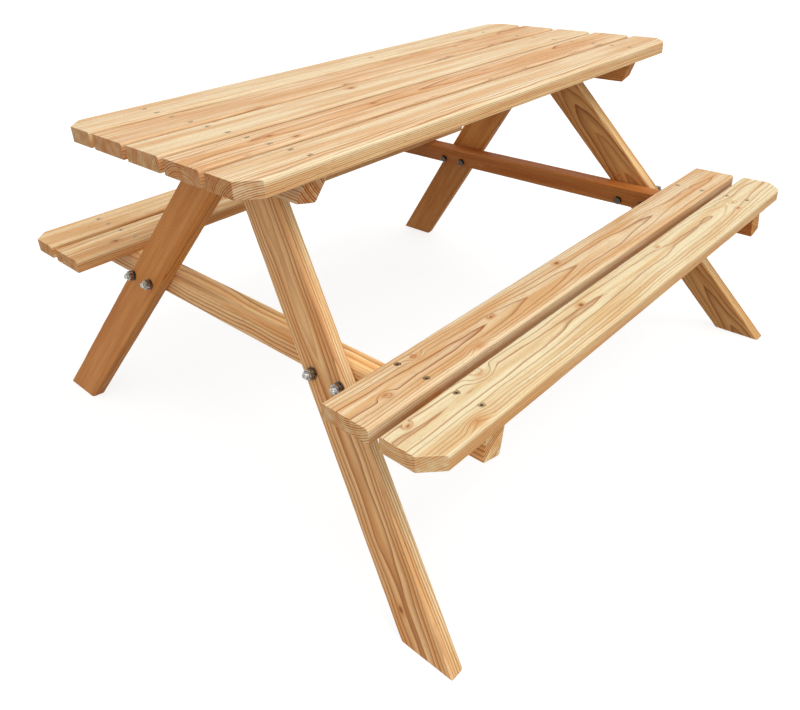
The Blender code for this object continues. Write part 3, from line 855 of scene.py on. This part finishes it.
def thread_rings(bm, core, crest, point, pitch, start, end, taper, sides=STEEL_SIDES):
    """Rings of a helical thread from start to end along Z, thinned to a point over the taper's length."""
    steps = math.ceil(abs(end - start) / pitch * THREAD_RINGS)
    rings = []
    for step in range(steps + 1):
        z = start + (end - start) * step / steps
        limit = point + (crest - point) * min(1, abs(end - z) / taper)
        fade = min(1, abs(z - start) / pitch)

        def radius(angle, z=z, limit=limit, fade=fade):
            phase = (z / pitch - angle / (2 * math.pi)) % 1
            ridge = min(1, max(0, 1.35 * (1 - abs(2 * phase - 1)) - 0.1))
            return min(limit, crest - (crest - core) * fade * (1 - ridge))

        rings.append(round_ring(bm, radius, z, sides))
    return rings


def cap(bm, ring, height):
    """Closes a ring with a fan of faces round a point on the axis."""
    middle = bm.verts.new((0, 0, height))
    skin(bm, [ring, [middle]])


def bolt_mesh():
    """A hexagon bolt along Z, with the underside of its head at 0 and a thread at its other end."""
    bm = bmesh.new()
    face = -BOLT_HEAD_HEIGHT
    rings = [
        round_ring(bm, HEXAGON_RIM * 0.98, face),
        round_ring(bm, HEXAGON_RIM, face + 0.0001),
        round_ring(bm, hexagon_radius, hexagon_edge(face, -1)),
        round_ring(bm, hexagon_radius, -0.0004),
        round_ring(bm, lambda angle: hexagon_radius(angle) - 0.0002, -0.0002),
        round_ring(bm, 0.0058, -0.0002),
        round_ring(bm, 0.0057, 0),
        round_ring(bm, 0.0044, 0),
        round_ring(bm, BOLT_RADIUS, 0.0005),
        round_ring(bm, BOLT_RADIUS, BOLT_LENGTH - 0.016),
    ]
    rings += thread_rings(
        bm,
        core=0.00335,
        crest=BOLT_RADIUS,
        point=0.0033,
        pitch=0.00125,
        start=BOLT_LENGTH - 0.0155,
        end=BOLT_LENGTH,
        taper=0.0008,
    )
    skin(bm, rings)
    cap(bm, list(reversed(rings[0])), face)
    cap(bm, rings[-1], BOLT_LENGTH)
    return bm


def nut_mesh():
    """A hexagon nut along Z, standing on 0, chamfered on both faces, with a plain countersunk bore."""
    bm = bmesh.new()
    top = NUT_HEIGHT
    rings = [
        round_ring(bm, NUT_BORE, NUT_COUNTERSINK_DEPTH),
        round_ring(bm, NUT_COUNTERSINK, 0),
        round_ring(bm, HEXAGON_RIM, 0),
        round_ring(bm, hexagon_radius, hexagon_edge(0, -1)),
        round_ring(bm, hexagon_radius, hexagon_edge(top, 1)),
        round_ring(bm, HEXAGON_RIM, top),
        round_ring(bm, NUT_COUNTERSINK, top),
        round_ring(bm, NUT_BORE, top - NUT_COUNTERSINK_DEPTH),
    ]
    skin(bm, [*rings, rings[0]])
    return bm


def washer_mesh():
    """A punched washer round Z, lying on 0, with its upper rim rolled over by the punch."""
    bm = bmesh.new()
    top = WASHER_THICKNESS
    bore = BOLT_HOLE / 2
    profile = [
        (bore, 0),
        (0.0079, 0),
        (0.0080, 0.0001),
        (0.0080, top - 0.0004),
        (0.0079, top - 0.0001),
        (0.0077, top),
        (0.0045, top),
        (bore, top - 0.0002),
    ]
    rings = [round_ring(bm, radius, height) for radius, height in profile]
    skin(bm, [*rings, rings[0]])
    return bm


def screw_mesh():
    """A countersunk wood screw down the Z axis, with the face of its head at 0 and a six-lobed recess."""
    bm = bmesh.new()

    def lobes(size):
        return lambda angle: size * (1 + 0.16 * math.cos(6 * angle))

    profile = [
        (lobes(0.00105), -SCREW_RECESS_DEPTH),
        (lobes(0.00165), -0.0016),
        (lobes(0.00172), -0.0002),
        (lobes(0.00186), 0),
        (0.0038, 0),
        (SCREW_HEAD_RADIUS, -0.00015),
        (SCREW_HEAD_RADIUS, -0.0003),
        (0.00185, -0.00245),
        (0.0018, -0.012),
    ]
    rings = [round_ring(bm, radius, height, SCREW_SIDES) for radius, height in profile]
    rings += thread_rings(
        bm,
        core=0.0013,
        crest=0.0018,
        point=0.0002,
        pitch=0.0022,
        start=-0.0121,
        end=-0.033,
        taper=0.006,
        sides=SCREW_SIDES,
    )
    skin(bm, rings)
    cap(bm, list(reversed(rings[0])), -SCREW_RECESS_DEPTH)
    cap(bm, rings[-1], -0.0333)
    return bm


def fasten(name, mesh, place, node_name=None):
    """Puts one fastener in its place. Fasteners of a kind share one mesh."""
    piece = bpy.data.objects.new(name, mesh)
    piece.matrix_world = place
    bpy.context.scene.collection.objects.link(piece)
    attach(piece, "root")
    if node_name:
        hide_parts(node_name)


def add_bolts(end, end_name, hand, side_name, meshes, turns):
    """Bolts, washers and nuts of one leg, each turned at random as a spanner leaves it."""
    side = end * hand
    for joint_name, spot, inner_w, outer_w in leg_joints(side):
        washer_w = outer_w + CONTACT_GAP
        nut_w = washer_w + WASHER_THICKNESS + CONTACT_GAP
        for kind, w in (("bolt", inner_w - CONTACT_GAP), ("washer", washer_w), ("nut", nut_w)):
            node_name = f"{kind}_{end_name}_{side_name}_{joint_name}"
            turn = Matrix.Rotation(turns.uniform(0, math.pi / 3), 4, "Z")
            place = frame_matrix(end) @ Matrix.Translation((*spot, w)) @ turn
            fasten("zinc_" + node_name, meshes[kind], place, node_name)


def add_screws(slat_name, spots, mesh, turns):
    """The four screws of a slat, a little askew and a little below the wood, as they are driven."""
    for spot, corner in zip(spots, ("near_right", "near_left", "far_right", "far_left")):
        turn = Matrix.Rotation(turns.uniform(0, math.tau), 4, "Z")
        tip = Matrix.Rotation(math.radians(turns.uniform(-1.5, 1.5)), 4, "X")
        sunk = Vector(spot) - Vector((0, 0, turns.uniform(0.0003, 0.0005)))
        fasten(f"screw_{slat_name}_{corner}", mesh, Matrix.Translation(sunk) @ tip @ turn)


# The table

# For each board: the pith's place beside the middle of its show face, its slant along the board and its bow
# at a metre, the rings' width, the late wood's share of it, the log, the tone, the tints of the sawn ends and
# of the ripped edges, how deep below the show face the latter sets in where that isn't EDGE_BELOW, and knots
# as (along, across, radius, how dark). The tints are painted light and shade, besides the sawn ends' own
# darkness. Lengths are in millimetres. No bow or knots are given where none are.
GRAINS = {
    "top_slat_1": dict(
        pith=(-38, -56), slant=(0.004, 0.004), ring=2.3, late=0.6, log=1,
        tone="wheat", end="dusky", edge="warm",
    ),
    "top_slat_2": dict(
        pith=(6, -48), slant=(0.01, 0.014), bow=10, ring=2.7, late=0.34, log=2,
        tone="honey", end="dark", edge="ruddy",
        knots=[(-330, 2, 2.6, 1), (-155, 9, 2.8, 1), (-312, -24, 2.4, 1)],
    ),
    "top_slat_3": dict(
        pith=(-62, -40), slant=(0.006, 0.004), ring=2.4, late=0.42, log=3,
        tone="wheat", end="dark", edge="ruddy",
        knots=[(-112, 17, 3.2, 1), (-329, 33, 2.4, 1)],
    ),
    "top_slat_4": dict(
        pith=(30, -64), slant=(-0.008, 0.01), ring=2.5, late=0.34, log=4,
        tone="honey", end="dark", edge="ruddy",
        knots=[(210, 12, 2.2, 0.8)],
    ),
    "top_slat_5": dict(
        pith=(-40, -60), slant=(0.01, -0.008), bow=10, ring=2.4, late=0.36, log=5,
        tone="wheat", end="dark", edge="warm",
        knots=[(60, -8, 2.4, 0.8)],
    ),
    "bench_right_slat_1": dict(
        pith=(-5, 43), slant=(-0.01, 0.018), ring=2.7, late=0.32, log=6,
        tone="oat", end="buff", edge="umber", edge_below=8.5,
        knots=[
            (-326, 15, 3.2, 0.5), (-398, -9, 3.2, 0.6), (-203, 2, 2.6, 0.8), (-263, -27, 4.6, 0.4),
            (-30, 20, 2.8, 1),
        ],
    ),
    "bench_right_slat_2": dict(
        pith=(8, 46), slant=(-0.01, 0.012), bow=10, ring=2.8, late=0.32, log=7,
        tone="straw", end="tawny", edge="tawny",
        knots=[
            (-307, 22, 4.6, 0.25), (-421, 23, 2.6, 0.7), (-372, -24, 5.0, 0.45), (-111, 17, 2.8, 1),
            (100, 19, 2.2, 0.6), (308, -13, 2.4, 0.8), (327, 3, 2.2, 0.3),
        ],
    ),
    "bench_left_slat_1": dict(
        pith=(9, -52), slant=(0.01, 0.012), ring=2.5, late=0.45, log=8,
        tone="barley", end="dark", edge="ruddy",
        knots=[(-376, -13, 2.8, 1), (40, 8, 2.4, 0.8)],
    ),
    "bench_left_slat_2": dict(
        pith=(-70, -30), slant=(0.006, 0.01), ring=2.4, late=0.45, log=9,
        tone="barley", end="dark", edge="warm",
        knots=[(120, -6, 2.4, 0.8)],
    ),
    "leg_near_right": dict(
        pith=(2, -40), slant=(-0.01, -0.006), ring=2.6, late=0.9, log=10,
        tone="fawn", end="cream", edge="pale",
        knots=[(254, -11, 2.6, 1)],
    ),
    "leg_near_left": dict(
        pith=(-85, -45), slant=(0.01, 0.012), ring=2.6, late=0.45, log=11,
        tone="copper", end="cream", edge="plain",
    ),
    "leg_far_right": dict(
        pith=(-4, 40), slant=(0.004, -0.04), ring=3.2, late=0.9, log=12,
        tone="russet", end="cream", edge="whitest",
        knots=[(-60, 8, 2.0, 0.8)],
    ),
    "leg_far_left": dict(
        pith=(80, 40), slant=(0.01, 0.01), ring=2.6, late=0.45, log=13,
        tone="copper", end="cream", edge="plain",
        knots=[(120, -10, 2.2, 0.8)],
    ),
    "batten_near": dict(
        pith=(84, -90), slant=(0.01, 0.01), ring=2.4, late=0.9, log=14,
        tone="honey", end="cream", edge="plain",
    ),
    "batten_far": dict(
        pith=(-30, -50), slant=(0.01, 0.01), ring=2.6, late=0.6, log=15,
        tone="russet", end="cream", edge="plain",
    ),
    "beam_near": dict(
        pith=(-56, -66), slant=(0.004, 0.004), ring=3.4, late=0.8, log=16,
        tone="amber", end="pale", edge="whiter",
    ),
    "beam_far": dict(
        pith=(66, 40), slant=(0.008, 0.006), ring=2.6, late=0.5, log=17,
        tone="chestnut", end="whitest", edge="plain",
        knots=[(130, -5, 2.2, 0.8)],
    ),
}


def build_table():
    cut = larch_cut()
    # The dark ends of the bolts', nuts' and washers' colours are partly painted reflection: they stand for
    # dark surroundings for the metal to mirror
    bolt_zinc = zinc_plated_steel(
        "zinc plated bolt steel", "4C4945", "DDD9D2", level=0.0, painted_shade=0.88, roughness=0.2
    )
    nut_zinc = zinc_plated_steel(
        "zinc plated nut steel", "3A3733", "C4BFB8", level=-1.0, painted_shade=0.0, roughness=0.2
    )
    washer_zinc = zinc_plated_steel(
        "zinc plated washer steel", "332E2A", "7A746D", level=-1.0, painted_shade=0.0, roughness=0.26
    )
    screw_zinc = zinc_plated_steel(
        "yellow zinc plated screw steel", "A48D6A", "DAC29C", level=-0.15, painted_shade=0.7, roughness=0.38
    )
    meshes = {}
    patterns = (
        ("bolt", bolt_mesh(), bolt_zinc),
        ("nut", nut_mesh(), nut_zinc),
        ("washer", washer_mesh(), washer_zinc),
        ("screw", screw_mesh(), screw_zinc),
    )
    for kind, shape, zinc in patterns:
        pattern = mesh_object(kind, shape, Matrix(), zinc)
        meshes[kind] = pattern.data
        bpy.data.objects.remove(pattern)
    turns = random.Random(7)
    top = [(f"top_slat_{i}", {1: -1, 5: 1}.get(i, 0)) for i in range(1, 6)]
    benches = []
    for name, hand in (("left", 1), ("right", -1)):
        benches += [(f"bench_{name}_slat_{i}", hand * (i - 1)) for i in (1, 2)]
    top_spots = []
    bench_spots = []
    sets = ((top, BATTEN_SCREW_X, TOP_ARRIS, top_spots), (benches, BEAM_SCREW_X, BENCH_ARRIS, bench_spots))
    for slats, screw_x, arris, spots in sets:
        for name, clipped_side in slats:
            add_slat(name, clipped_side, screw_x, arris, GRAINS[name], cut)
            own = slat_screws(name, clipped_side, screw_x)
            add_screws(name, own, meshes["screw"], turns)
            spots += own
    for end, end_name in ((-1, "near"), (1, "far")):
        at_end = [spot for spot in top_spots if spot[0] * end > 0]
        add_batten("batten_" + end_name, end, at_end, GRAINS["batten_" + end_name], cut)
        at_end = [spot for spot in bench_spots if spot[0] * end > 0]
        add_beam("beam_" + end_name, end, at_end, GRAINS["beam_" + end_name], cut)
        for hand, side_name in ((1, "left"), (-1, "right")):
            name = f"leg_{end_name}_{side_name}"
            add_leg(name, end, hand, GRAINS[name], cut)
            add_bolts(end, end_name, hand, side_name, meshes, turns)


# Floor, light and camera


def looked_at(tree):
    """1 for what the camera sees, straight or by way of metal or glass, and 0 for light thrown on things."""
    path = node(tree, "LightPath")
    seen = node(tree, "Math", {0: path["Is Camera Ray"], 1: path["Is Glossy Ray"]}, operation="MAXIMUM")[0]
    return node(tree, "Math", {0: seen, 1: path["Is Transmission Ray"]}, operation="MAXIMUM")[0]


def pale_floor():
    """Matt grey card that looks white, so that it keeps a shadow and throws little light up at the wood."""
    material, tree = bare_material("matt white card")
    seen = looked_at(tree)
    card = node(tree, "BsdfDiffuse", {"Color": linear(CARD_GREY)})[0]
    away = node(tree, "VectorMath", {0: node(tree, "TexCoord")["Object"]}, operation="LENGTH")["Value"]
    white = node(tree, "MapRange", {0: away, 1: 0.8, 2: 3.0, 3: 0.78, 4: 1.0})[0]
    white = node(tree, "Math", {0: white, 1: seen}, operation="MULTIPLY")[0]
    glow = node(tree, "Emission", {"Color": (1, 1, 1, 1), "Strength": white})[0]
    shown = node(tree, "AddShader", {0: card, 1: glow})[0]
    node(tree, "OutputMaterial", {"Surface": shown})
    return material


def add_floor():
    bm = bmesh.new()
    bmesh.ops.create_grid(bm, x_segments=8, y_segments=8, size=14)
    floor = mesh_object("floor", bm, Matrix.Translation((0, 0, -0.0002)), pale_floor())


def add_light(name, size, watts, spot, target):
    """A soft square lamp that faces a point."""
    lamp = bpy.data.lights.new(name, "AREA")
    lamp.size = size
    lamp.energy = watts
    obj = bpy.data.objects.new(name, lamp)
    back = Vector(spot) - Vector(target)
    obj.matrix_world = Matrix.Translation(spot) @ back.to_track_quat("Z", "Y").to_matrix().to_4x4()
    bpy.context.scene.collection.objects.link(obj)
    obj.visible_camera = False


def add_world():
    """White to whatever looks at it, and a soft even light on what it shines on."""
    world = bpy.data.worlds.new("white room")
    bpy.context.scene.world = world
    world.use_nodes = True
    tree = world.node_tree
    tree.nodes.clear()
    strength = node(tree, "MapRange", {0: looked_at(tree), 3: ROOM_LIGHT, 4: 1.0})[0]
    sky = node(tree, "Background", {"Color": (1, 1, 1, 1), "Strength": strength})[0]
    node(tree, "OutputWorld", {"Surface": sky})


def add_camera():
    """The photograph's viewpoint: before the near right corner, a little above the top."""
    data = bpy.data.cameras.new("camera")
    data.sensor_width = 36
    data.lens = 33.394
    data.shift_x = -0.00788
    data.shift_y = -0.0841
    data.clip_start = 0.05
    data.clip_end = 100
    camera = bpy.data.objects.new("camera", data)
    # Columns: the camera's right, its up, its back and its place in metres
    camera.matrix_world = Matrix((
        (0.67401508, 0.36954112, -0.6396429, -0.83157),
        (-0.73770601, 0.2914135, -0.60898933, -0.75885),
        (-0.03864603, 0.8823364, 0.4690298, 0.74291),
        (0, 0, 0, 1),
    ))
    bpy.context.scene.collection.objects.link(camera)
    bpy.context.scene.camera = camera


add_camera()
add_world()
add_floor()
add_light("key lamp", size=2.6, watts=59, spot=(0.1, -1.7, 3.0), target=(0, 0, 0.3))
add_light("side lamp", size=1.6, watts=15, spot=(-2.3, -1.7, 0.9), target=(0, 0, 0.3))
build_table()
bpy.context.scene.view_settings.view_transform = "Standard"
